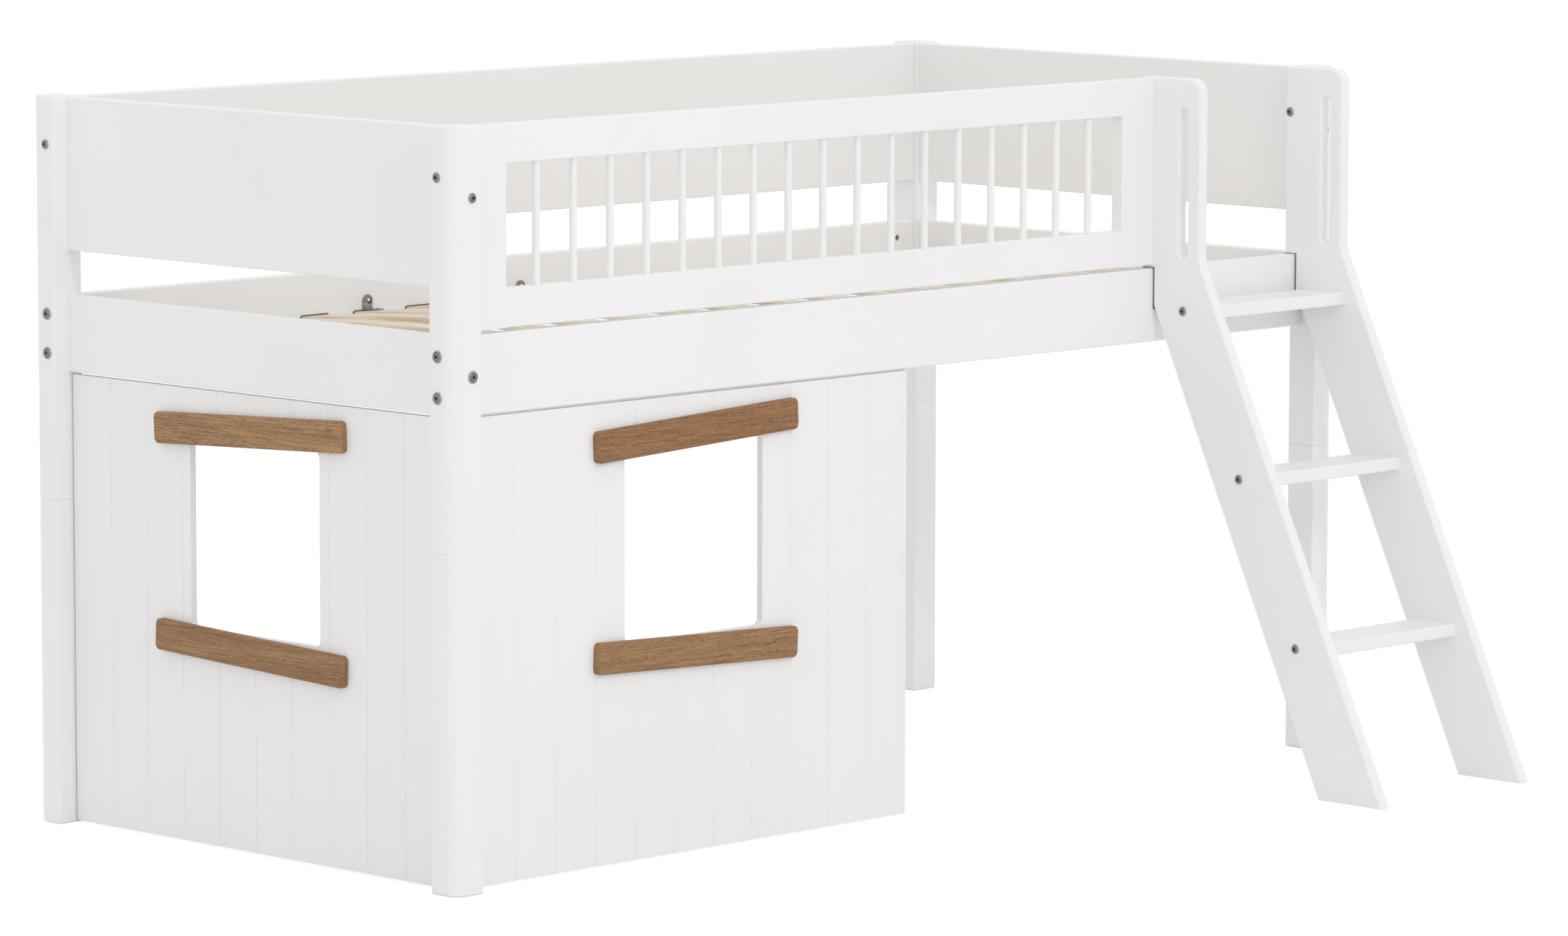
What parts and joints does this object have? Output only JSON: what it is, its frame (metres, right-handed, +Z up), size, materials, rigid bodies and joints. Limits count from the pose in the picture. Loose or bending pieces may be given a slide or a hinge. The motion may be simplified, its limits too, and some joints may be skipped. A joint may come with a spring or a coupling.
{
  "type": "mid sleeper bed",
  "caption": "Child's mid-height bed on posts with sprung slats, a guard of round balusters, a leaning ladder and grooved play panels with windows below.",
  "frame": {"origin": "on the floor, under the middle of the whole outline, ladder included", "axes": "+X along the bed towards the ladder's end, -Y towards the side with the ladder, +Z up"},
  "size_m": [2.103, 1.505, 1.2],
  "materials": {
    "white_lacquer": "satin white lacquer on solid wood",
    "white_panel": "satin white lacquer on grooved board",
    "oak": "oiled oak with fine dark pores",
    "birch": "bare laminated birch",
    "dark_steel": "dark matt coating",
    "chromed_steel": "bright",
    "zinc_steel": "bright zinc"
  },
  "bodies": {
    "root": {"back_board": "white_lacquer", "end_board_left": "white_lacquer", "end_board_right": "white_lacquer", "end_rail_left": "white_lacquer", "end_rail_right": "white_lacquer", "guard_balusters": "white_lacquer", "guard_bottom_rail": "white_lacquer", "guard_stile_left": "white_lacquer", "guard_stile_right": "white_lacquer", "guard_top_rail": "white_lacquer", "ladder_hook_left": "dark_steel", "ladder_hook_right": "dark_steel", "ladder_tread_1": "white_lacquer", "ladder_tread_2": "white_lacquer", "ladder_tread_3": "white_lacquer", "ladder_upright_left": "white_lacquer", "ladder_upright_right": "white_lacquer", "leg_back_left": "white_lacquer", "leg_back_right": "white_lacquer", "leg_front_left": "white_lacquer", "leg_front_right": "white_lacquer", "panel_brackets": "zinc_steel", "play_panel_end": "white_panel", "play_panel_front": "white_panel", "post_back_left": "white_lacquer", "post_back_right": "white_lacquer", "post_front_left": "white_lacquer", "post_front_right": "white_lacquer", "side_rail_back": "white_lacquer", "side_rail_front": "white_lacquer", "slat_01": "birch", "slat_02": "birch", "slat_03": "birch", "slat_04": "birch", "slat_05": "birch", "slat_06": "birch", "slat_07": "birch", "slat_08": "birch", "slat_09": "birch", "slat_10": "birch", "slat_11": "birch", "slat_12": "birch", "slat_13": "birch", "slat_14": "birch", "slat_15": "birch", "slat_16": "birch", "slat_17": "birch", "slat_clips": "chromed_steel", "trim_end_bottom": "oak", "trim_end_top": "oak", "trim_front_bottom": "oak", "trim_front_top": "oak"}
  },
  "joints": []
}
